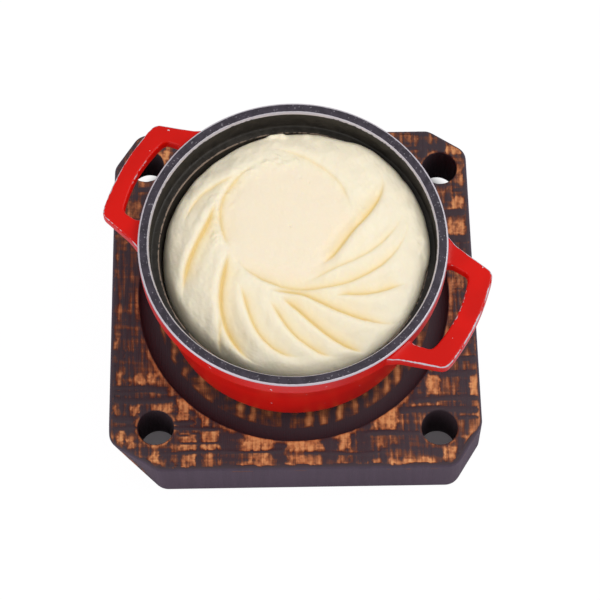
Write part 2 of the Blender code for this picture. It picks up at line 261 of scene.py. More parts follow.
def node(tree, kind, settings=None, **inputs):
    """Adds a node; a linked socket or a value goes into each named input."""
    made = tree.nodes.new(kind)
    for key, value in (settings or {}).items():
        setattr(made, key, value)
    for label, value in inputs.items():
        socket = made.inputs[int(label[1:]) if label[0] == "i" and label[1:].isdigit()
                             else label.replace("_", " ")]
        if isinstance(value, bpy.types.NodeSocket):
            tree.links.new(value, socket)
        else:
            socket.default_value = value
    return made


def math_node(tree, operation, first, second=0.0, clamp=False):
    return node(tree, "ShaderNodeMath", {"operation": operation, "use_clamp": clamp},
                i0=first, i1=second).outputs[0]


def mix_colour(tree, factor, first, second):
    made = tree.nodes.new("ShaderNodeMix")
    made.data_type = "RGBA"
    for socket, value in ((made.inputs[0], factor), (made.inputs[6], first),
                          (made.inputs[7], second)):
        if isinstance(value, bpy.types.NodeSocket):
            tree.links.new(value, socket)
        elif isinstance(value, float):
            socket.default_value = value
        else:
            socket.default_value = (*value, 1.0)
    return made.outputs[2]


def ramp(tree, factor, *stops):
    """Colour ramp with (position, linear colour) stops."""
    made = node(tree, "ShaderNodeValToRGB", i0=factor)
    elements = made.color_ramp.elements
    for index, (place, shade) in enumerate(stops):
        element = elements[index] if index < 2 else elements.new(place)
        element.position = place
        element.color = (*shade, 1.0)
    return made.outputs[0]


def remap(tree, value, low, high, to_low=0.0, to_high=1.0):
    return node(tree, "ShaderNodeMapRange", {"interpolation_type": "SMOOTHSTEP"}, i0=value,
                i1=low, i2=high, i3=to_low, i4=to_high).outputs[0]


def new_material(name):
    """Material with its Principled node: (material, tree, shader)."""
    material = bpy.data.materials.new(name)
    material.use_nodes = True
    tree = material.node_tree
    return material, tree, tree.nodes["Principled BSDF"]


def attribute(tree, name):
    return node(tree, "ShaderNodeAttribute", {"attribute_name": name}).outputs["Fac"]


def uneven_noise():
    """Group: noise on object coordinates, with a scale for each axis, as a value 0..1."""
    group, given, result = group_of(
        "uneven noise",
        (("Across", "NodeSocketFloat", 100.0), ("Along", "NodeSocketFloat", 100.0),
         ("Up", "NodeSocketFloat", 100.0), ("Detail", "NodeSocketFloat", 3.0),
         ("Offset", "NodeSocketFloat", 0.0)),
        (("Value", "NodeSocketFloat"),))
    place = node(group, "ShaderNodeTexCoord").outputs["Object"]
    scale = node(group, "ShaderNodeCombineXYZ", X=given.outputs["Across"],
                 Y=given.outputs["Along"], Z=given.outputs["Up"]).outputs[0]
    stretched = node(group, "ShaderNodeVectorMath", {"operation": "MULTIPLY"},
                     i0=place, i1=scale).outputs[0]
    moved = node(group, "ShaderNodeVectorMath", {"operation": "ADD"},
                 i0=stretched, i1=given.outputs["Offset"]).outputs[0]
    noise = node(group, "ShaderNodeTexNoise", Vector=moved, Scale=1.0,
                 Detail=given.outputs["Detail"])
    group.links.new(noise.outputs["Fac"], result.inputs["Value"])
    return group


def noise_value(tree, across, along=None, up=None, detail=3.0, offset=0.0):
    """Places the uneven noise group with its own scales."""
    made = tree.nodes.new("ShaderNodeGroup")
    made.node_tree = bpy.data.node_groups.get("uneven noise") or uneven_noise()
    numbers = (across, across if along is None else along, across if up is None else up,
               detail, offset)
    for socket, number in zip(made.inputs, numbers):
        socket.default_value = number
    return made.outputs["Value"]


# --- Potato -----------------------------------------------------------------------------

LEDGE_Z = RIM_Z - 10
LEDGE_INNER = 47.9
POT_FLOOR = POT_BASE + 4.5
INNER_FOOT = 44.0
INNER_FOOT_ROUND = 8.0
PATCH_X, PATCH_Y = -2.0, 9.5
EDGE_Z, EDGE_TILT, EDGE_TILT_ANGLE = 57.0, 4.2, math.radians(20)
EDGE_ROLL = 3.4
# Start angle, sweep, start radius, end radius, early bend, late bend, depth of each stroke
STROKES = (
    (5, 97, 23.5, 31, 2.0, 1.0, 0.7),
    (300, 92, 20, 39, 4.5, 2.6, 1.5),
    (278, 90, 23, 42.5, 3.2, 1.5, 0.9),
    (205, 160, 23, 43.5, 4.0, 2.2, 1.2),
    (298, 34, 32.5, 49, 1.5, 1.0, 1.3),
    (252, 66, 26, 56, 3.5, 1.5, 1.5),
    (262, 40, 29.5, 56.5, 2.5, 2.0, 1.6),
    (255, 34, 30, 53.5, 1.5, 1.5, 1.3),
    (230, 46, 29, 50.5, 2.0, 2.6, 1.3),
    (204, 54, 23, 53.5, 1.5, 1.5, 1.9),
    (234, 12, 39, 54.5, 1.0, 1.5, 0.9),
    (110, 98, 27.5, 22.5, 0.8, 1.0, 1.1),
    (158, 58, 26.5, 46.5, 2.0, 1.0, 1.7),
    (128, 50, 25.5, 38, 1.0, 1.0, 0.9),
)
# Single marks on the surface: x, y, width, height
MARKS = (
    (-1.0, 8.6, 0.5, -0.7), (25.2, 13.8, 1.5, 0.8), (23.6, 15.5, 1.2, 0.35),
    (13.7, -44.5, 0.7, -0.9), (-3.3, 32.2, 1.1, 0.5), (2.9, 27.8, 0.6, -0.4),
    (6.0, 26.0, 0.5, -0.3), (-7.8, 46.0, 1.5, 2.2), (-5.6, 47.0, 1.6, 2.9),
    (-3.4, 45.8, 1.4, 1.8), (-5.6, 42.6, 2.2, 0.9), (5.5, 45.6, 1.6, 0.8),
    (-31.8, 10.0, 0.9, 0.45), (45.4, 2.0, 1.2, -0.6), (46.2, -4.0, 1.0, -0.5),
)
TORN_BITS = 64


def pot_inner_radius(z):
    """Inner wall below the ledge: a cone down to a quarter circle at the floor."""
    foot = POT_FLOOR + INNER_FOOT_ROUND
    taper = (LEDGE_INNER - INNER_FOOT) / (LEDGE_Z - foot)
    below = np.clip((foot - z) / INNER_FOOT_ROUND, 0, 1)
    return (INNER_FOOT + taper * np.clip(z - foot, 0, None)
            - INNER_FOOT_ROUND * (1 - np.sqrt(1 - below ** 2)))


def edge_height(angle):
    """Height where the potato meets the wall: a tilted circle with small waves."""
    return (EDGE_Z + EDGE_TILT * np.cos(angle - EDGE_TILT_ANGLE)
            + 0.35 * np.sin(7 * angle + 1) + 0.25 * np.sin(13 * angle + 2)
            + 0.15 * np.sin(29 * angle) - 1.6 * bell(angle - 2.3, 0.75)
            + 0.9 * bell(angle - 0.9, 0.5))


def edge_radius(angle):
    """Plan radius of the edge: on the wall, or lapped on to the ledge where it is high."""
    height = edge_height(angle)
    wall = pot_inner_radius(np.minimum(height, LEDGE_Z - 0.8)) + 0.05
    return wall + 1.0 * smoothstep((height - LEDGE_Z - 0.2) / 0.8)


def spoon_strokes(x, y, steep=0.8, gentle=4.6):
    """Relief of the strokes at (x, y), and how strong the painted shade in their creases is.

    A stroke runs out from the patch as radius = start + (end - start) s, with
    s = 1 - (1 - u^early)^late and u its share of the sweep. Beside it the surface falls
    as depth * exp(-distance / width), with a steep outer and a gentle inner side, and a
    rounded crest, a bell curve, follows the steep side and a faint second groove the
    gentle side.
    """
    relief, crease_shade = np.zeros(x.shape), np.zeros(x.shape)
    part = np.linspace(0, 1, 90)
    for start, sweep, inner, outer, early, late, depth in STROKES:
        angle = np.radians(start + sweep * part)
        radius = inner + (outer - inner) * (1 - (1 - part ** early) ** late)
        wander = 0.35 * np.sin(9 * part + start)
        line = np.stack([PATCH_X + (radius + wander) * np.cos(angle),
                         PATCH_Y + (radius + wander) * np.sin(angle)])
        along = np.gradient(line, axis=1)
        away_x, away_y = x[:, None] - line[0], y[:, None] - line[1]
        distance = np.hypot(away_x, away_y)
        near = distance.argmin(axis=1)
        rows = np.arange(len(x))
        across = (along[0, near] * away_y[rows, near] - along[1, near] * away_x[rows, near])
        across /= np.hypot(along[0, near], along[1, near])
        beyond = np.sqrt(np.clip(distance[rows, near] ** 2 - across ** 2, 0, None))
        ends = (near == 0) | (near == len(part) - 1)
        distance = np.where(ends, np.hypot(across, 1.5 * beyond), np.abs(across))
        fade = smoothstep(part[near] / 0.3) * smoothstep((1 - part[near]) / 0.22)
        fade = 0.12 + 0.88 * fade
        fade = fade * np.where(ends, np.exp(-beyond / 1.5), 1)
        inward = smoothstep(across / 0.5 + 0.5)
        width = steep + (gentle - steep) * inward
        crest = bell(distance - 2.6, 2.4) * (1 - inward)
        relief += depth * fade * (0.42 * crest - np.exp(-distance / width)
                                  - 0.2 * bell(across - 3.6, 1.4))
        # Painted crease shade: a thin line in the crease and a wide fall over its gentle side.
        crease_shade = np.maximum(crease_shade, fade * min(depth / 1.6, 1)
                            * (0.3 * np.exp(-(distance / 0.7) ** 2)
                               + 0.7 * np.exp(-distance / (0.9 + 3.6 * inward))))
    return relief, crease_shade


def torn_bits(x, y):
    """Small flakes where the spoon lifted: bells of random size along the patch's back."""
    draw = np.random.default_rng(11)
    height = np.zeros(x.shape)
    for _ in range(TORN_BITS):
        angle = math.radians(draw.uniform(80, 206))
        radius = draw.normal(26.0 if angle > 2.1 else 24.5, 1.8)
        long, thin = draw.uniform(0.8, 1.7), draw.uniform(0.45, 0.85)
        turn = angle + draw.normal(0.9, 0.5)
        away_x = x - PATCH_X - radius * math.cos(angle)
        away_y = y - PATCH_Y - radius * math.sin(angle)
        along = away_x * math.cos(turn) + away_y * math.sin(turn)
        across = away_y * math.cos(turn) - away_x * math.sin(turn)
        height += draw.uniform(0.12, 0.5) * np.exp(-(along / long) ** 2 - (across / thin) ** 2)
    return height


def spots(x, y):
    """Single marks, each a bell: a dimple, a lifted dab, the torn lump at the back."""
    height = np.zeros(x.shape)
    for at_x, at_y, width, rise in MARKS:
        height += rise * bell(np.hypot(x - at_x, y - at_y), width)
    return height


def potato_surface(patch_radius, patch_height, groove, columns=560, inner=44, outer=108):
    """Points (rows, columns, 3), strength of the painted crease shade, and patch mask of the
    potato.

    Rows run from the patch's centre out to the wall and down to the floor. Inside the
    patch they are circles; outside, centre and radius change evenly from the patch to
    the pot's wall. Height = patch height - fall * (out^2 + roll) / 2 + strokes + spots,
    where roll is a quarter circle over the last few millimetres before the wall.
    """
    angle = np.linspace(0, 2 * math.pi, columns, endpoint=False)[None, :]
    within = np.linspace(0, 1, inner, endpoint=False)[:, None]
    out = np.sin(np.linspace(0, 1, outer) * math.pi / 2)[:, None] ** 1.05
    edge = edge_radius(angle)
    radius = np.concatenate([patch_radius * within + 0 * angle,
                             patch_radius + (edge - patch_radius) * out])
    out = np.concatenate([0 * within, out])
    x = PATCH_X * (1 - out) + radius * np.cos(angle)
    y = PATCH_Y * (1 - out) + radius * np.sin(angle)
    fall = patch_height - edge_height(angle)
    to_edge = (edge - patch_radius) * (1 - out)
    roll = 1 - np.sqrt(1 - np.clip(1 - to_edge / EDGE_ROLL, 0, 1) ** 2)
    hold = smoothstep(to_edge / 3.0)
    flat_x, flat_y = x.ravel(), y.ravel()
    relief, crease_shade = spoon_strokes(flat_x, flat_y)
    from_patch = np.hypot(flat_x - PATCH_X, flat_y - PATCH_Y)
    pressed = 1 - smoothstep((from_patch - 20) / 5)
    rough = 0.15 * waves(flat_x, flat_y, 7, 3) + 0.045 * waves(flat_x, flat_y, 2.2, 4)
    rough = rough * (1 - 0.6 * pressed)
    extra = groove * relief + rough + torn_bits(flat_x, flat_y)
    z = (patch_height - 0.4 * pressed.reshape(x.shape) - fall * (0.5 * out ** 2 + 0.5 * roll)
         + extra.reshape(x.shape) * hold
         + spots(flat_x, flat_y).reshape(x.shape) * (0.35 + 0.65 * hold))
    top = np.stack([x, y, z], axis=-1)
    down = np.array((0.03, 0.2, 0.5, 0.78, 0.9, 0.975))[:, None]
    start_z = np.minimum(edge_height(angle) - 0.9, LEDGE_Z - 0.4)
    side_z = start_z + (POT_FLOOR + 0.3 - start_z) * down
    side_radius = pot_inner_radius(side_z) - 0.3
    side = np.stack([side_radius * np.cos(angle), side_radius * np.sin(angle), side_z], axis=-1)
    base = np.zeros((1, columns, 3))
    base[..., 2] = POT_FLOOR + 0.3
    points = np.concatenate([top, side, base])
    below = np.zeros((len(down) + 1) * columns)
    return (points, np.concatenate([crease_shade * hold.ravel(), below]),
            np.concatenate([pressed, below]))


def potato_material(settings):
    """Pale moist flesh with painted shade in the creases, warmer and darker there, and a soft
    uneven gloss.
    """
    material, tree, shader = new_material("moist potato")
    crease_shade, pressed = attribute(tree, "crease_shade"), attribute(tree, "pressed")
    cloud = remap(tree, noise_value(tree, 120, detail=2.0), 0.35, 0.65)
    crumb = remap(tree, noise_value(tree, 900, detail=2.0, offset=3.0), 0.3, 0.7)
    flesh = mix_colour(tree, math_node(tree, "MULTIPLY", cloud, 0.25), settings.flesh,
                       settings.pressed)
    flesh = mix_colour(tree, pressed, flesh, settings.pressed)
    # Painted shade: the flesh turns to the crease shade colour along the creases.
    deep = math_node(tree, "MULTIPLY", remap(tree, crease_shade, 0.05, 0.95), 0.85, clamp=True)
    tree.links.new(mix_colour(tree, deep, flesh, settings.crease_shade_colour), shader.inputs["Base Color"])
    gloss = math_node(tree, "ADD", math_node(tree, "MULTIPLY", cloud, 0.12), 0.40)
    tree.links.new(gloss, shader.inputs["Roughness"])
    bump = node(tree, "ShaderNodeBump", Strength=0.12, Distance=0.0004, Height=crumb)
    tree.links.new(bump.outputs[0], shader.inputs["Normal"])
    shader.inputs["Specular IOR Level"].default_value = 0.35
    shader.inputs["Subsurface Weight"].default_value = 0.2
    shader.inputs["Subsurface Radius"].default_value = (1.0, 0.75, 0.4)
    shader.inputs["Subsurface Scale"].default_value = 0.002
    return material


class OBJECT_OT_potato(bpy.types.Operator):
    """Add the spooned potato in the place of its plain solid"""
    bl_idname = "object.mashed_potato"
    bl_label = "Potato"

    def execute(self, context):
        settings = context.scene.potato
        points, crease_shade, pressed = potato_surface(
            settings.patch_radius / MM, settings.patch_height / MM, settings.groove)
        piece = put_in("spooned_potato", points, grid_faces(*points.shape[:2]),
                       (("crease_shade", crease_shade), ("pressed", pressed)))
        piece.data.materials.append(potato_material(settings))
        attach(piece, "root")
        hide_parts("mashed_potato")
        return {"FINISHED"}


# --- Cocotte ----------------------------------------------------------------------------

RIM_INNER = 51.0
BAND_HEIGHT = 7.6
WALL_TOP, WALL_FOOT, FOOT_ROUND = 52.8, 48.0, 9.0
# Turn, outer and inner middle of the bar: right handle, then the shorter left one
HANDLES = (("right_handle", math.radians(-26.2), 71.1, 63.6),
           ("left_handle", math.radians(152.3), 68.7, 62.3))
HANDLE_TOP, HANDLE_THICK = RIM_Z - 2.8, 4.6
HANDLE_EDGE = 0.9
# Half of each outline: root, flare and its radius, then how far the tip lies back from
# the bar, the tip's half width and its radius
INNER_LINE = ((51.0, 15.2), (54.6, 16.5), 4.0, 2.3, 15.8, 2.6)
OUTER_LINE = ((45.6, 27.6), (52.4, 24.3), 7.0, 2.2, 20.2, 3.6)
POT_STEPS = 256


def pot_profile():
    """Profile (radius, z, part, wear) from the inner floor up over the rim to the base.

    part is 0 for the lining, 1 for the rim's flat ring, 2 for the red outside; wear is
    how readily that edge shows bare metal, and on the rim's inner bevel and the lining's
    edges it is partly a painted highlight.
    """
    ledge, rim, band = LEDGE_Z, RIM_Z, RIM_Z - BAND_HEIGHT
    rows = []

    def add(points, part, wear=0.0):
        for point in points:
            rows.append((*point, part, wear))

    add(np.stack([np.linspace(0, INNER_FOOT - INNER_FOOT_ROUND, 5)[:-1], [POT_FLOOR] * 4], 1), 0)
    add(arc(INNER_FOOT - INNER_FOOT_ROUND, POT_FLOOR + INNER_FOOT_ROUND, INNER_FOOT_ROUND,
            -90, 0, 8), 0)
    add(((LEDGE_INNER - 0.1, ledge - 1.2), (LEDGE_INNER, ledge - 0.5)), 0)
    add(arc(LEDGE_INNER + 0.35, ledge - 0.35, 0.35, 180, 90, 4), 0, 0.9)
    add(((LEDGE_INNER + 0.8, ledge), (RIM_INNER - 1.2, ledge)), 0)
    add(arc(RIM_INNER - 0.7, ledge + 0.7, 0.7, -90, 0, 4), 0)
    add(((RIM_INNER, ledge + 1.5), (RIM_INNER, ledge + 5), (RIM_INNER, rim - 1.8),
         (RIM_INNER, rim - 1.4)), 0)
    # Lining's top edge and the rim's inner bevel: worn metal, partly a painted highlight.
    add(((RIM_INNER + 0.03, rim - 1.2),), 0, 0.9)
    add(((RIM_INNER + 0.3, rim - 0.6), (RIM_INNER + 0.55, rim - 0.12)), 1, 1.5)
    add(((RIM_INNER + 0.75, rim), (RIM_INNER + 1.1, rim), (RIM_RADIUS - 1.0, rim),
         (RIM_RADIUS - 0.72, rim)), 1)
    add(arc(RIM_RADIUS - 0.6, rim - 0.6, 0.6, 80, 0, 5), 1, 1.6)
    add(((RIM_RADIUS, rim - 0.72), (RIM_RADIUS, rim - 1.2), (RIM_RADIUS, band + 1.0)), 2)
    add(arc(RIM_RADIUS - 0.5, band + 0.5, 0.5, 0, -80, 4), 2, 0.15)
    add(((WALL_TOP + 0.35, band - 0.05),), 2)
    add(((WALL_TOP + 0.05, band - 0.3), (WALL_TOP, band - 0.8)), 2)
    add(arc(WALL_FOOT - FOOT_ROUND, POT_BASE + FOOT_ROUND, FOOT_ROUND, 0, -90, 12), 2)
    add(((30, POT_BASE), (15, POT_BASE), (0, POT_BASE)), 2)
    return np.array(rows)


def handle_lines(outer_x, inner_x):
    """Inner and outer outline of a handle, matched point for point, in the handle's frame.

    Each half runs from a root inside the wall through a flare and a rounded tip to the
    middle of the bowed bar; the other half mirrors it. Root to tip and tip to middle are
    spaced by themselves, so that the corners of both outlines match.
    """
    lines = []
    for middle, (root, flare, flare_radius, back, tip_half, tip_radius) in (
            (inner_x, INNER_LINE), (outer_x, OUTER_LINE)):
        tip = (middle - back, tip_half)
        neck = bend(root, flare, tip, flare_radius)
        corner = bend(flare, tip, (middle, 0), tip_radius)
        part = np.linspace(0, 1, 13)
        bow = np.stack([tip[0] + (middle - tip[0]) * np.sin(part * math.pi / 2),
                        tip[1] * (1 - part)], axis=1)
        arm = spaced(np.concatenate([[root], neck, corner[:7]]), 44)
        bar = spaced(np.concatenate([corner[6:], bow[bow[:, 1] < corner[-1, 1] - 0.5]]), 40)
        half = np.concatenate([arm[:-1], bar])
        lines.append(np.concatenate([half[:-1], half[::-1] * (1, -1)]))
    return lines


def handle_surface(turn, outer_x, inner_x):
    """Points, faces and wear of one flat cast loop.

    Its section, carried along the two outlines, is a rectangle with quarter-circle
    edges: point = inner + offset or outer - offset across, and height by the section.
    The loop thickens a little where it runs into the rim band.
    """
    inner, outer = handle_lines(outer_x, inner_x)
    across = outer - inner
    across /= np.linalg.norm(across, axis=1)[:, None]
    quarter = np.radians(np.linspace(0, 90, 7))
    fall, run = HANDLE_EDGE * (1 - np.cos(quarter)), HANDLE_EDGE * (1 - np.sin(quarter))
    half = HANDLE_THICK / 2
    bare = bell(quarter - math.pi / 4, 0.42)
    section = [(0, 0, 0, 0)]
    section += [(0, b, half - a, 0.55 * w) for a, b, w in zip(run, fall, bare)]
    section += [(0, 1.3, half, 0), (0, 2.2, half, 0), (1, 2.2, half, 0), (1, 1.3, half, 0)]
    section += [(1, b, half - a, w) for a, b, w in zip(fall, run, bare)]
    section += [(1, 0, 0, 0)]
    section += [(1, b, a - half, 0.5 * w) for a, b, w in zip(run, fall, bare)]
    section += [(1, 1.8, -half, 0), (0, 1.6, -half, 0)]
    section += [(0, b, a - half, 0.2 * w) for a, b, w in zip(fall, run, bare)]
    section = np.array(section)
    side, offset, height, wear = section.T
    middle = (inner + outer) / 2
    reach = np.hypot(middle[:, 0], middle[:, 1])
    swell = 1 + 0.22 * np.exp(-np.clip(reach - RIM_RADIUS, 0, None) / 1.2)
    plan = np.where(side[None, :, None] > 0.5,
                    outer[:, None] - across[:, None] * offset[None, :, None],
                    inner[:, None] + across[:, None] * offset[None, :, None])
    z = HANDLE_TOP - half + height[None, :] * swell[:, None]
    cos, sin = math.cos(turn), math.sin(turn)
    points = np.stack([plan[..., 0] * cos - plan[..., 1] * sin,
                       plan[..., 0] * sin + plan[..., 1] * cos, z], axis=-1)
    rows, columns = points.shape[:2]
    faces = grid_faces(rows, columns).tolist()
    faces.append(list(range(columns)))
    faces.append(list(range((rows - 1) * columns, rows * columns))[::-1])
    return points, faces, np.broadcast_to(wear, (rows, columns))


def worn_edge():
    """Group: mask of bare metal, partly a painted highlight, from an edge's wear value, broken up
    by two noises.
    """
    group, given, result = group_of(
        "worn edge", (("Wear", "NodeSocketFloat", 0.0), ("Amount", "NodeSocketFloat", 1.0)),
        (("Mask", "NodeSocketFloat"),))
    patches = remap(group, noise_value(group, 90, detail=3.0, offset=5.0), 0.35, 0.62)
    nicks = remap(group, noise_value(group, 700, detail=3.0, offset=9.0), 0.3, 0.7)
    broken = math_node(group, "ADD", math_node(group, "MULTIPLY", patches, 0.55),
                       math_node(group, "MULTIPLY", nicks, 0.45))
    level = math_node(group, "MULTIPLY", given.outputs["Wear"], given.outputs["Amount"])
    level = math_node(group, "ADD", level, broken)
    group.links.new(remap(group, level, 1.12, 1.42), result.inputs["Mask"])
    return group


def wear_mask(tree, amount):
    made = tree.nodes.new("ShaderNodeGroup")
    made.node_tree = bpy.data.node_groups.get("worn edge") or worn_edge()
    tree.links.new(attribute(tree, "wear"), made.inputs["Wear"])
    made.inputs["Amount"].default_value = amount
    return made.outputs["Mask"]


def enamel_material(settings):
    """Glossy red enamel with bare metal along its edges and in a few small chips."""
    material, tree, shader = new_material("red enamel")
    cloud = remap(tree, noise_value(tree, 60, detail=2.0, offset=1.0), 0.35, 0.65)
    paint = mix_colour(tree, cloud, settings.enamel, tuple(c * 0.88 for c in settings.enamel))
    chips = remap(tree, noise_value(tree, 420, detail=2.0, offset=21.0), 0.75, 0.77)
    paint = mix_colour(tree, chips, paint, settings.bare)
    mask = wear_mask(tree, settings.wear)
    tree.links.new(mix_colour(tree, mask, paint, settings.bare), shader.inputs["Base Color"])
    tree.links.new(math_node(tree, "MULTIPLY", mask, 0.4), shader.inputs["Metallic"])
    tree.links.new(remap(tree, mask, 0, 1, 0.30, 0.5), shader.inputs["Roughness"])
    shader.inputs["Specular IOR Level"].default_value = 0.18
    dent = noise_value(tree, 220, detail=2.0, offset=4.0)
    height = math_node(tree, "SUBTRACT", math_node(tree, "MULTIPLY", dent, 0.3),
                       math_node(tree, "MULTIPLY", mask, 0.4))
    bump = node(tree, "ShaderNodeBump", Strength=0.2, Distance=0.0004, Height=height)
    tree.links.new(bump.outputs[0], shader.inputs["Normal"])
    return material


def dark_enamel_material(name, settings, base, edge, speckle):
    """Satin dark enamel: fine pale speckle, and another colour along its rubbed edges, partly a
    painted highlight on the inner bevels.
    """
    material, tree, shader = new_material(name)
    cloud = remap(tree, noise_value(tree, 300, detail=3.0, offset=2.0), 0.3, 0.7)
    dark = mix_colour(tree, cloud, tuple(c * 0.75 for c in base), tuple(c * 1.25 for c in base))
    dots = remap(tree, noise_value(tree, 1100, detail=2.0, offset=7.0), 0.62, 0.72)
    dark = mix_colour(tree, math_node(tree, "MULTIPLY", dots, speckle), dark, settings.bare)
    mask = wear_mask(tree, settings.wear)
    tree.links.new(mix_colour(tree, mask, dark, edge), shader.inputs["Base Color"])
    tree.links.new(math_node(tree, "MULTIPLY", mask, 0.4), shader.inputs["Metallic"])
    tree.links.new(remap(tree, cloud, 0, 1, 0.42, 0.55), shader.inputs["Roughness"])
    shader.inputs["Specular IOR Level"].default_value = 0.3
    grain = noise_value(tree, 1100, detail=2.0, offset=3.0)
    bump = node(tree, "ShaderNodeBump", Strength=0.25, Distance=0.0003, Height=grain)
    tree.links.new(bump.outputs[0], shader.inputs["Normal"])
    return material


class OBJECT_OT_cocotte(bpy.types.Operator):
    """Add the turned pot with its lining, ledge, rim and band"""
    bl_idname = "object.cocotte"
    bl_label = "Cocotte"

    def execute(self, context):
        settings = context.scene.cocotte
        profile = pot_profile()
        points = revolve(profile[:, :2], POT_STEPS)
        wear = np.repeat(profile[:, 3], POT_STEPS)
        piece = put_in("enamelled_cocotte", points, grid_faces(*points.shape[:2]),
                       (("wear", wear), ("part", np.repeat(profile[:, 2], POT_STEPS))))
        for material in (dark_enamel_material("lining", settings, settings.lining,
                                              settings.worn_and_highlit_edge, 0.04),
                         dark_enamel_material("speckled rim", settings, settings.rim,
                                              settings.bare, 0.3),
                         enamel_material(settings)):
            piece.data.materials.append(material)
        mesh = piece.data
        part = np.empty(len(mesh.vertices), dtype=np.float32)
        mesh.attributes["part"].data.foreach_get("value", part)
        slots = [int(round(max(part[index] for index in face.vertices)))
                 for face in mesh.polygons]
        mesh.polygons.foreach_set("material_index", slots)
        mesh.attributes.remove(mesh.attributes["part"])
        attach(piece, "root")
        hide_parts("cocotte")
        return {"FINISHED"}


class OBJECT_OT_handles(bpy.types.Operator):
    """Add the flat cast handles on both sides of the pot"""
    bl_idname = "object.cast_handles"
    bl_label = "Handles"

    def execute(self, context):
        material = bpy.data.materials["red enamel"]
        for name, turn, outer_x, inner_x in HANDLES:
            points, faces, wear = handle_surface(turn, outer_x, inner_x)
            piece = put_in(name, points, faces, (("wear", wear),))
            piece.data.materials.append(material)
            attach(piece, "root")
            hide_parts("cocotte")
        return {"FINISHED"}


# --- Board ------------------------------------------------------------------------------

BOARD_ROUND = 1.8
CORNER_ROUND = 6.0
# Corners of the sawn outline, anticlockwise from the front right, at the top
BOARD_CORNERS = ((57.8, -68), (67.8, -52), (66.2, 59), (52.3, 68),
                 (-58, 68), (-67.2, 54), (-68, -57), (-50, -68))
# How far the front left cut's two ends move at the underside
CUT_LEAN = (0, 7.5), (0.5, 0)
HOLE_RADIUS = 6.6
HOLES = ((52.2, -53.1), (56.0, 51.8), (-55.2, 54.6), (-50.9, -51.4))
RECESS_RADIUS, RECESS_FLOOR, RECESS_DEPTH = 57.3, 51.5, 4.5
RECESS_LIP = 1.2
PLAN_STEP, BASE_STEP = 0.62, 6.0
RECESS_COLUMNS, HOLE_COLUMNS = 420, 72
# Raised char lines across the grain: first x, last x, y, half width
CHAR_LINES = (
    (-67, -46, -36.0, 0.75), (-67, -46, -37.7, 0.55), (-67, -43, -40.8, 1.1),
    (-67, -58, -48.4, 1.3), (-67, -57, -51.4, 0.7), (-45, -36, -49.6, 0.7),
    (-46, -28, -52.2, 0.6), (-43, -34, -54.6, 0.3), (-43, -27, -57.6, 0.35),
    (-50, -4, -61.3, 0.5), (2, 32, -62.4, 0.45), (24, 46, -55.0, 0.85),
    (42, 67, -42.0, 0.95), (37, 67, -46.2, 1.2), (58, 67, -49.6, 0.5),
    (54, 67, -31.9, 1.2), (55, 67, -26.0, 0.9), (60, 65, 42.5, 0.8),
    (56, 65.5, 32.6, 1.5), (57, 67, 21.8, 1.2), (39, 56, -67.3, 0.8),
    (-30, 30, 63.0, 0.8), (-60, -38, 44.0, 0.9), (30, 50, 60.0, 0.7),
)
# The deep burnt gouge at the front right corner: x, y, turn, half length, half width
GOUGE = (62.5, -60.1, math.radians(59), 7.4, 1.7)
# Dark bands along the grain: x, half width, first y, last y
CHAR_BANDS = (
    (-6.0, 2.2, -70, -52), (12.2, 2.6, -70, -50), (24.5, 3.0, -66, -52),
    (-24.5, 3.6, -68, -54), (-35.2, 0.9, -68, -48), (-46.2, 1.6, -68, -58),
    (-43.7, 0.7, -48, -38), (-66.8, 0.8, -50, 50), (-61.8, 0.8, -35, 30),
    (65.7, 0.9, -28, 60), (61.5, 2.0, -44, -32), (57.0, 1.4, 42, 68),
    (-8.0, 3.0, 58, 70), (18.0, 4.0, 58, 70), (50.0, 2.2, 56, 70),
)
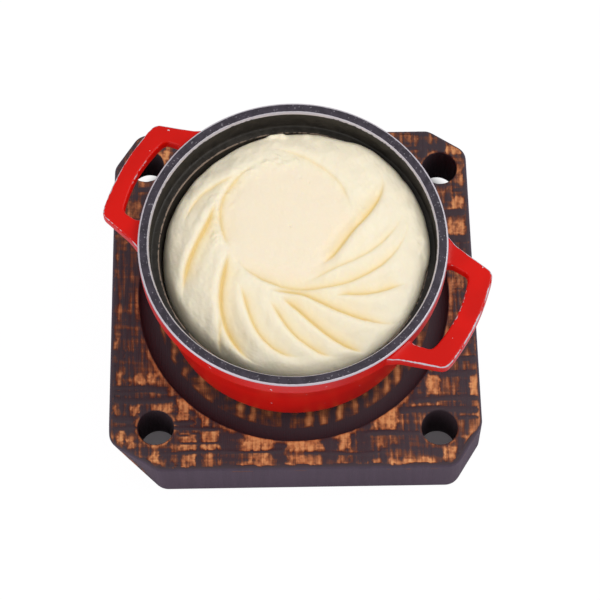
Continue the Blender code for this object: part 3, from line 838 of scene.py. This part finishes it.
# Windows of bare wood: first x, last x, first y, last y, strength
BARE_WINDOWS = (
    (-65.9, -63.9, -47.2, -42.6, 0.6), (-60.0, -56.6, -46.2, -42.8, 0.9),
    (-51.8, -43.9, -45.4, -42.4, 1.0), (-43.2, -38.6, -49.0, -40.2, 0.95),
    (-38.6, -31.0, -51.5, -47.6, 0.7), (-64.4, -62.6, -57.6, -52.0, 1.0),
    (-61.0, -58.6, -60.0, -55.6, 0.9), (-52.6, -49.2, -65.6, -60.9, 0.9),
    (-52.5, -44.2, -59.2, -58.2, 0.6), (-42.4, -35.2, -60.4, -53.2, 0.8),
    (-34.0, -27.9, -60.4, -53.0, 1.0), (-41.2, -35.6, -67.6, -61.9, 0.7),
    (-33.6, -29.5, -67.2, -62.2, 0.55), (-44.0, -39.4, -68.2, -66.6, 0.7),
    (-18.8, -8.3, -61.2, -54.6, 1.0), (-19.4, -15.2, -68.0, -64.8, 0.95),
    (-16.6, -8.4, -67.0, -62.0, 0.75), (-23.5, -20.5, -68.0, -65.8, 0.5),
    (-3.8, 9.6, -61.3, -56.8, 0.95), (-3.8, 8.8, -66.6, -62.8, 0.7),
    (-5.0, 8.4, -67.8, -66.2, 1.0), (15.1, 19.7, -60.9, -54.6, 0.95),
    (12.0, 19.4, -66.4, -63.0, 0.55), (12.0, 19.0, -66.6, -65.6, 0.9),
    (28.2, 37.0, -53.6, -45.6, 1.0), (28.0, 37.0, -60.2, -56.6, 0.45),
    (24.6, 30.2, -66.2, -64.8, 0.75), (33.6, 50.4, -67.2, -64.8, 0.95),
    (53.2, 57.8, -65.4, -60.4, 0.95), (42.4, 52.3, -45.0, -43.9, 0.95),
    (60.0, 63.6, -58.4, -56.0, 0.6), (48.2, 52.6, -40.6, -32.8, 1.0),
    (63.8, 66.6, -41.8, -33.2, 0.95), (53.4, 62.0, -40.0, -34.2, 0.3),
    (57.2, 63.4, 0.6, 9.4, 0.55), (57.6, 63.0, -18.0, -4.0, 0.35),
    (58.4, 64.6, 23.8, 29.6, 0.9), (60.0, 65.0, 34.8, 39.4, 0.95),
    (63.0, 64.7, 44.6, 50.8, 0.8), (56.0, 58.4, 42.4, 44.6, 0.6),
    (59.0, 65.4, 57.4, 62.4, 0.95), (51.6, 53.6, 61.0, 67.4, 0.55),
    (43.2, 46.4, 63.2, 66.8, 0.5), (-50.4, -46.4, 56.4, 62.0, 1.0),
    (-65.6, -63.8, -35.0, -29.6, 0.8), (-58.2, -55.4, -34.6, -30.2, 0.95),
    (-54.2, -50.6, -34.6, -30.0, 0.95), (-65.8, -64.6, -18.4, -14.6, 0.4),
    (-65.8, -64.4, -8.4, -4.8, 0.5), (-64.0, -57.0, 32.0, 40.0, 0.5),
    (-30.0, -12.0, 62.0, 67.0, 0.7), (-2.0, 10.0, 61.0, 67.0, 0.8),
    (26.0, 38.0, 61.5, 67.0, 0.7),
)


def board_outline(lean, count=640):
    """Outline with its corners rounded; `lean` is 0 at the top and 1 at the underside."""
    corners = [(x, y, CORNER_ROUND) for x, y in BOARD_CORNERS]
    for index, (move_x, move_y) in zip((6, 7), CUT_LEAN):
        x, y, radius = corners[index]
        corners[index] = (x + lean * move_x, y + lean * move_y, radius)
    return filleted(corners, count)


def plan_triangles(loops, step, keep):
    """Triangles of the plan between closed loops, with a jittered grid of points inside.

    `keep` tells which points, given as x and y, lie in the region.
    """
    span = np.arange(-BOARD_HALF, BOARD_HALF, step)
    x, y = (axis.ravel() for axis in np.meshgrid(span, span))
    x = x + (np.round(y / step) % 2) * step / 2
    inside = keep(x, y, 0.55 * step)
    points = np.concatenate(list(loops) + [np.stack([x[inside], y[inside]], axis=1)])
    edges, first = [], 0
    for loop in loops:
        index = np.arange(len(loop))
        edges.append(np.stack([first + index, first + (index + 1) % len(loop)], axis=1))
        first += len(loop)
    vertices, _, faces, _, _, _ = delaunay_2d_cdt(
        points.tolist(), np.concatenate(edges).tolist(), [], 1, 1e-5, False)
    vertices, faces = np.array([tuple(v) for v in vertices]), np.array(faces)
    middle = vertices[faces].mean(axis=1)
    return vertices, faces[keep(middle[:, 0], middle[:, 1], 0.0)]


def outline_distance(x, y, outline):
    """Distance in the plan from each point to the outline, positive inside it."""
    nearest = np.full(x.shape, 1e9)
    inside = np.zeros(x.shape)
    coarse = outline[::4]
    normal = np.roll(coarse, -1, axis=0) - np.roll(coarse, 1, axis=0)
    normal = np.stack([normal[:, 1], -normal[:, 0]], 1)
    normal /= np.linalg.norm(normal, axis=1)[:, None]
    for point, out in zip(coarse, normal):
        away = np.hypot(x - point[0], y - point[1])
        closer = away < nearest
        nearest = np.where(closer, away, nearest)
        inside = np.where(closer, -(x - point[0]) * out[0] - (y - point[1]) * out[1], inside)
    return inside


def char_lines(x, y):
    """0..1 over the raised char lines, long lozenges tapered at both ends, and the gouge."""
    field = np.zeros(x.shape)
    for first, last, line_y, half in CHAR_LINES:
        drift = 0.3 * np.sin(x / 5.0 + line_y)
        taper = smoothstep((x - first) / 3.0 + 0.4) * smoothstep((last - x) / 3.0 + 0.4)
        across = np.abs(y - line_y - drift) / (half * np.clip(taper, 0.05, 1))
        field = np.maximum(field, taper * (1 - smoothstep((across - 0.6) / 0.8)))
    gouge_x, gouge_y, turn, long, wide = GOUGE
    away_x, away_y, cos, sin = x - gouge_x, y - gouge_y, math.cos(turn), math.sin(turn)
    along, across = cos * away_x + sin * away_y, sin * away_x - cos * away_y
    return np.maximum(field, 1 - smoothstep(np.hypot(along / long, across / wide) * 2.2 - 1.4))


def soft_box(x, y, x_low, x_high, y_low, y_high, edge):
    """1 inside a box, falling to 0 over `edge` across its sides."""
    return (smoothstep((x - x_low) / edge + 0.5) * smoothstep((x_high - x) / edge + 0.5)
            * smoothstep((y - y_low) / edge + 0.5) * smoothstep((y_high - y) / edge + 0.5))


def char_field(x, y, z, outline):
    """How burnt the wood is, how far the brush left it standing, and the sides' mask.

    Burnt starts as a dark brown plaid of uneven waves along and across the grain, loses
    the windows of bare wood and gains bands, char lines, edges, recess, holes and sides.
    """
    moved_x = x + 0.45 * waves(x, y, 5, 51) + 0.25 * waves(x, y, 1.8, 52)
    moved_y = y + 0.45 * waves(x, y, 5, 53) + 0.25 * waves(x, y, 1.8, 54)
    strands = waves(x, y / 7, 2.3, 24)
    rungs = waves(x / 6, y, 3.4, 21)
    burnt = 0.66 + 0.17 * strands + 0.12 * rungs + 0.08 * waves(x, y, 22, 23)
    bare = np.zeros(x.shape)
    for x_low, x_high, y_low, y_high, strength in BARE_WINDOWS:
        inside = soft_box(moved_x, moved_y, x_low, x_high, y_low, y_high, 1.1)
        bare = np.maximum(bare, strength * inside)
    mottle = 0.16 * waves(x, y / 3, 1.5, 55) + 0.10 * waves(x / 4, y, 1.0, 56)
    burnt = burnt * (1 - bare) + bare * (0.14 + mottle + 0.10 * strands)
    for centre, half, first, last in CHAR_BANDS:
        band = soft_box(moved_x, moved_y, centre - half, centre + half, first, last, 1.2)
        burnt = np.maximum(burnt, band * (0.82 + 0.15 * rungs))
    lines = char_lines(x, y)
    to_edge = outline_distance(x, y, outline)
    front = smoothstep((-y - 60) / 3)
    scallop = 0.6 + 0.5 * waves(x, 0 * y, 14, 25) + 0.25 * waves(x, 0 * y, 4, 26)
    rim = 1 - smoothstep((to_edge - scallop * front - 0.35) / 0.6)
    right = smoothstep((x - 60) / 3) * smoothstep((-y - 30) / 4)
    worn = right * bell(to_edge - 1.5, 1.0) * (0.75 + 0.25 * waves(y, x, 9, 27))
    from_middle = np.hypot(x, y)
    lip = bell(from_middle - RECESS_RADIUS - 0.9, 0.7) * smoothstep(0.5 + waves(x, y, 14, 57))
    worn = np.maximum(worn, 0.75 * lip)
    for hole_x, hole_y in HOLES:
        chamfer = bell(np.hypot(x - hole_x, y - hole_y) - HOLE_RADIUS - 0.5, 0.45)
        worn = np.maximum(worn, 0.8 * chamfer * smoothstep(0.3 + waves(x, y, 9, 58)))
    burnt = burnt * (1 - 0.85 * np.clip(worn, 0, 1))
    burnt = np.maximum(burnt, 1.05 * lines)
    burnt = np.maximum(burnt, rim * (0.8 + 0.3 * front))
    in_recess = 1 - smoothstep((from_middle - RECESS_RADIUS + 0.1) / 0.4)
    floor = 0.56 + 0.26 * waves(x, y / 10, 4.2, 28) + 0.12 * waves(x, y, 4, 29)
    cove = smoothstep((from_middle - RECESS_FLOOR + 2.0) / 3.0)
    floor = np.maximum(floor, 1.35 * cove)
    burnt = burnt * (1 - in_recess) + floor * in_recess
    depth = BOARD_TOP - z
    for hole_x, hole_y in HOLES:
        near = 1 - smoothstep((np.hypot(x - hole_x, y - hole_y) - HOLE_RADIUS - 0.1) / 0.5)
        burnt = np.maximum(burnt, near * smoothstep(depth / 0.8) * 1.3)
    outside = smoothstep((BOARD_ROUND - to_edge) / 1.2) * smoothstep((depth - 0.2) / 0.7)
    seam = bell(depth - 2.8 - 0.4 * waves(x, y, 12, 30), 0.35)
    seam = seam * smoothstep((waves(x, y, 15, 31) - 0.1) / 0.5)
    burnt = burnt * (1 - outside) + outside * (1.2 - 0.8 * seam)
    standing = np.clip(np.maximum(lines, 0.5 * smoothstep((burnt - 0.3) / 0.5)), 0, 1)
    return np.clip(burnt, 0, 1.35), standing, outside


def board_mesh():
    """Points and faces of the board: top and underside plans, edge, recess and holes.

    The edge is the outline carried round a section with quarter-circle corners, which
    moves evenly from the top's outline to the underside's; the recess and the holes are
    turned profiles, and the two plans fill between their rings.
    """
    outline, base_outline = board_outline(0), board_outline(1)
    normal = np.roll(outline, -1, axis=0) - np.roll(outline, 1, axis=0)
    normal = np.stack([normal[:, 1], -normal[:, 0]], axis=1)
    normal /= np.linalg.norm(normal, axis=1)[:, None]
    upper = arc(-BOARD_ROUND, BOARD_TOP - BOARD_ROUND, BOARD_ROUND, 90, 0, 6)
    lower = arc(-BOARD_ROUND, BOARD_ROUND, BOARD_ROUND, 0, -90, 4)
    wall = np.stack([np.zeros(16), np.linspace(BOARD_TOP - BOARD_ROUND, BOARD_ROUND, 18)[1:-1]], 1)
    section = np.concatenate([upper, wall, lower])
    lean = (1 - section[:, 1] / BOARD_TOP)[:, None, None]
    rim = outline * (1 - lean) + base_outline * lean + normal * section[:, 0, None, None]
    parts = [np.concatenate([rim, np.broadcast_to(section[:, 1, None, None],
                                                  (*rim.shape[:2], 1))], axis=2)]
    cove = RECESS_RADIUS - RECESS_FLOOR
    floor_z = BOARD_TOP - RECESS_DEPTH
    slope = np.radians(np.linspace(0, 90, 12))
    recess = [np.array([[0.7, 0], [0.45, -0.06], [0.2, -0.22], [0.05, -0.5]])
              + (RECESS_RADIUS, BOARD_TOP)]
    recess.append(np.stack([RECESS_FLOOR + cove * np.cos(slope),
                            BOARD_TOP - RECESS_LIP
                            - (RECESS_DEPTH - RECESS_LIP) * np.sin(slope)], axis=1))
    rings = np.linspace(RECESS_FLOOR, 34, 28)[1:]
    recess.append(np.stack([rings, np.full(rings.shape, floor_z)], axis=1))
    recess.append(np.array([[20.0, floor_z], [0.0, floor_z]]))
    recess = revolve(np.concatenate(recess), RECESS_COLUMNS)
    parts.append(recess)
    top_loops, base_loops = [parts[0][0, :, :2], recess[0, :, :2]], [parts[0][-1, :, :2]]
    for hole_x, hole_y in HOLES:
        tube = np.array([[0.6, 0], [0.3, -0.08], [0.08, -0.3], [0, -0.6]])
        tube = np.concatenate([tube + (HOLE_RADIUS, BOARD_TOP),
                               [[HOLE_RADIUS, z] for z in np.linspace(20, 3, 12)],
                               (tube * (1, -1))[::-1] + (HOLE_RADIUS, 0)])
        tube = revolve(tube, HOLE_COLUMNS) + np.array((hole_x, hole_y, 0))
        parts.append(tube)
        top_loops.append(tube[0, :, :2])
        base_loops.append(tube[-1, :, :2])

    def in_top(x, y, margin):
        keep = np.hypot(x, y) > RECESS_RADIUS + 0.7 + margin
        for hole_x, hole_y in HOLES:
            keep &= np.hypot(x - hole_x, y - hole_y) > HOLE_RADIUS + 0.6 + margin
        return keep & (outline_distance(x, y, outline) > BOARD_ROUND + margin)

    def in_base(x, y, margin):
        keep = outline_distance(x, y, base_outline) > BOARD_ROUND + margin
        for hole_x, hole_y in HOLES:
            keep &= np.hypot(x - hole_x, y - hole_y) > HOLE_RADIUS + 0.6 + margin
        return keep

    points, faces, first = [], [], 0
    for grid in parts:
        points.append(grid.reshape(-1, 3))
        faces += (grid_faces(*grid.shape[:2]) + first).tolist()
        first += grid.shape[0] * grid.shape[1]
    for loops, step, keep, z in ((top_loops, PLAN_STEP, in_top, BOARD_TOP),
                                 (base_loops, BASE_STEP, in_base, 0.0)):
        plan, triangles = plan_triangles(loops, step, keep)
        points.append(np.concatenate([plan, np.full((len(plan), 1), z)], axis=1))
        faces += (triangles + first).tolist()
        first += len(plan)
    return np.concatenate(points), faces, outline


def board_material(settings):
    """Charred and brushed wood: pale to burnt by the char field, with fine grain, and sides in a
    lighter, more purple char that is a painted sheen.
    """
    material, tree, shader = new_material("charred wood")
    burnt, outside = attribute(tree, "burnt"), attribute(tree, "outside")
    strand = noise_value(tree, 2600, 110, 110, detail=3.0)
    cross = noise_value(tree, 160, 1500, 1500, detail=2.0, offset=3.0)
    blot = noise_value(tree, 320, 200, 200, detail=3.0, offset=6.0)
    mixed = math_node(tree, "ADD", math_node(tree, "MULTIPLY", strand, 0.5),
                      math_node(tree, "ADD", math_node(tree, "MULTIPLY", cross, 0.25),
                                math_node(tree, "MULTIPLY", blot, 0.35)))
    level = math_node(tree, "ADD", burnt, math_node(tree, "SUBTRACT", mixed, 0.55))
    tone = ramp(tree, level, (0.0, settings.pale), (0.20, settings.wood),
                (0.50, settings.scorched), (0.74, settings.char), (1.0, settings.char))
    # Sides: burnt colour lightened to a painted sheen.
    side = mix_colour(tree, remap(tree, level, 0.55, 0.85), settings.scorched, settings.side)
    column = remap(tree, noise_value(tree, 500, 500, 25, detail=2.0, offset=8.0), 0.3, 0.7)
    side = mix_colour(tree, math_node(tree, "MULTIPLY", column, 0.35), side,
                      tuple(c * 0.6 for c in settings.side))
    tree.links.new(mix_colour(tree, outside, tone, side), shader.inputs["Base Color"])
    tree.links.new(remap(tree, level, 0.2, 0.8, 0.55, 0.62), shader.inputs["Roughness"])
    shader.inputs["Specular IOR Level"].default_value = 0.35
    height = math_node(tree, "ADD", math_node(tree, "MULTIPLY", strand, 0.6),
                       math_node(tree, "MULTIPLY", remap(tree, level, 0.3, 0.7), 0.5))
    bump = node(tree, "ShaderNodeBump", Strength=0.45, Distance=0.0005, Height=height)
    tree.links.new(bump.outputs[0], shader.inputs["Normal"])
    return material


class OBJECT_OT_board(bpy.types.Operator):
    """Add the charred and brushed board in the place of its plain solid"""
    bl_idname = "object.charred_board"
    bl_label = "Board"

    def execute(self, context):
        settings = context.scene.serving_board
        points, faces, outline = board_mesh()
        x, y, z = points.T
        burnt, standing, outside = char_field(x, y, z, outline)
        top = smoothstep((z - (BOARD_TOP - 2.2)) / 2.2) * (np.hypot(x, y) > RECESS_RADIUS)
        strands = 0.5 + 0.5 * waves(x, y / 14, 1.9, 41)
        sunk = (1 - standing) * (0.6 + 0.4 * strands)
        points[:, 2] -= settings.relief / MM * sunk * top
        piece = put_in("charred_board", points, faces,
                       (("burnt", burnt), ("outside", outside)), weld=0.004)
        piece.data.materials.append(board_material(settings))
        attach(piece, "root")
        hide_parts("serving_board")
        return {"FINISHED"}


# --- Stage ------------------------------------------------------------------------------

CAMERA_TARGET = (0.00225, -0.00535, 0.030)
# Place and side of each lamp
KEY_LAMP = (0.62, 0.12, 0.85), 0.5
FILL_LAMP = (-0.75, -0.65, 0.75), 0.9
# Plain white begins between these distances from the board's middle
WHITE_FROM, WHITE_FULL = 0.0605, 0.0655

def background_rays(tree):
    """1 for camera and transmission rays, which see the white surroundings."""
    path = tree.nodes.new("ShaderNodeLightPath")
    return math_node(tree, "MAXIMUM", path.outputs["Is Camera Ray"],
                     path.outputs["Is Transmission Ray"])


def floor_material():
    """White table that keeps a faint shadow, is dim where the holes show it, and has a painted
    glow under the board, stronger towards the back.

    Distance is the larger of |x|, |y| and 0.56 (|x| + |y|), an octagon like the board.
    """
    material, tree, shader = new_material("white table")
    shader.inputs["Base Color"].default_value = (0.82, 0.72, 0.80, 1)
    shader.inputs["Roughness"].default_value = 0.8
    glow = node(tree, "ShaderNodeEmission", Color=(1, 1, 1, 1), Strength=1.04)
    place = node(tree, "ShaderNodeTexCoord").outputs["Object"]
    apart = node(tree, "ShaderNodeSeparateXYZ", Vector=place)
    farther = math_node(tree, "MAXIMUM", math_node(tree, "ABSOLUTE", apart.outputs["X"]),
                        math_node(tree, "ABSOLUTE", apart.outputs["Y"]))
    corner = math_node(tree, "ADD", math_node(tree, "ABSOLUTE", apart.outputs["X"]),
                       math_node(tree, "ABSOLUTE", apart.outputs["Y"]))
    farther = math_node(tree, "MAXIMUM", farther, math_node(tree, "MULTIPLY", corner, 0.56))
    # Painted glow: light standing in for what leaks under the board, seen through the holes.
    painted_glow_under_board = remap(tree, apart.outputs["Y"], -0.03, 0.03, 0.03, 0.3)
    shown = math_node(tree, "MAXIMUM",
                      remap(tree, farther, WHITE_FROM, WHITE_FULL, 0.0, 0.93), painted_glow_under_board)
    fac = math_node(tree, "MULTIPLY", background_rays(tree), shown)
    mixed = node(tree, "ShaderNodeMixShader", i0=fac, i1=shader.outputs[0], i2=glow.outputs[0])
    tree.links.new(mixed.outputs[0], tree.nodes["Material Output"].inputs["Surface"])
    return material


def white_room(ambient):
    """World: plain white where it is seen, dimmer as a light."""
    world = bpy.data.worlds.new("white room")
    bpy.context.scene.world = world
    world.use_nodes = True
    tree = world.node_tree
    back = tree.nodes["Background"]
    back.inputs["Color"].default_value = (1, 1, 1, 1)
    strength = math_node(tree, "ADD", math_node(tree, "MULTIPLY", background_rays(tree),
                                                1.0 - ambient), ambient)
    tree.links.new(strength, back.inputs["Strength"])


def soft_lamp(name, place, size, power):
    """Square area lamp aimed at the pot."""
    light = bpy.data.lights.new(name, "AREA")
    light.energy = power
    light.size = size
    lamp = bpy.data.objects.new(name, light)
    lamp.location = place
    aim = Vector((0, 0, 0.05)) - Vector(place)
    lamp.rotation_euler = aim.to_track_quat("-Z", "Y").to_euler()
    bpy.context.scene.collection.objects.link(lamp)


def add_camera(settings):
    """Camera at distance * (direction of azimuth and elevation) from its target."""
    azimuth, elevation, roll = settings.azimuth, settings.elevation, settings.roll
    target = Vector(CAMERA_TARGET)
    forward = Vector((math.sin(azimuth) * math.cos(elevation),
                      math.cos(azimuth) * math.cos(elevation), -math.sin(elevation)))
    right = Vector((math.cos(azimuth), -math.sin(azimuth), 0))
    up = right.cross(forward)
    turned_right = right * math.cos(roll) + up * math.sin(roll)
    turned_up = up * math.cos(roll) - right * math.sin(roll)
    camera = bpy.data.objects.new("camera", bpy.data.cameras.new("camera"))
    camera.data.sensor_width = 36
    camera.data.lens = settings.lens
    camera.data.clip_start = 0.01
    axes = Matrix((turned_right, turned_up, -forward)).transposed().to_4x4()
    camera.matrix_world = Matrix.Translation(target - forward * settings.distance) @ axes
    bpy.context.scene.collection.objects.link(camera)
    bpy.context.scene.camera = camera


class SCENE_OT_stage(bpy.types.Operator):
    """Add the white table, the lamps, the room and the camera"""
    bl_idname = "scene.potato_stage"
    bl_label = "Stage"

    def execute(self, context):
        settings = context.scene.stage
        context.scene.view_settings.view_transform = "Standard"
        bpy.ops.mesh.primitive_plane_add(size=6)
        floor = context.active_object
        floor.name = "table"
        floor.data.materials.append(floor_material())
        white_room(settings.ambient)
        soft_lamp("key", *KEY_LAMP, settings.key)
        soft_lamp("fill", *FILL_LAMP, settings.fill)
        add_camera(settings)
        return {"FINISHED"}


# --- Panel and run ----------------------------------------------------------------------

STEPS = (("object.mashed_potato", "potato"), ("object.cocotte", "cocotte"),
         ("object.cast_handles", None), ("object.charred_board", "serving_board"),
         ("scene.potato_stage", "stage"))


class VIEW3D_PT_mashed_potato(bpy.types.Panel):
    """Lists the pieces and their settings"""
    bl_label = "Mashed potato"
    bl_space_type = "VIEW_3D"
    bl_region_type = "UI"
    bl_category = "Mashed potato"

    def draw(self, context):
        for operator, group in STEPS:
            box = self.layout.box()
            box.operator(operator)
            if group:
                settings = getattr(context.scene, group)
                for name in settings.__annotations__:
                    box.prop(settings, name)


GROUPS = (("potato", PotatoSettings), ("cocotte", CocotteSettings),
          ("serving_board", BoardSettings), ("stage", StageSettings))
CLASSES = (PotatoSettings, CocotteSettings, BoardSettings, StageSettings, OBJECT_OT_potato,
           OBJECT_OT_cocotte, OBJECT_OT_handles, OBJECT_OT_board, SCENE_OT_stage,
           VIEW3D_PT_mashed_potato)


def register():
    for item in CLASSES:
        bpy.utils.register_class(item)
    for name, group in GROUPS:
        setattr(bpy.types.Scene, name, PointerProperty(type=group))


def unregister():
    for name, _ in GROUPS:
        delattr(bpy.types.Scene, name)
    for item in reversed(CLASSES):
        bpy.utils.unregister_class(item)


def main():
    register()
    for operator, _ in STEPS:
        family, name = operator.split(".")
        getattr(getattr(bpy.ops, family), name)()


if __name__ == "__main__":
    main()
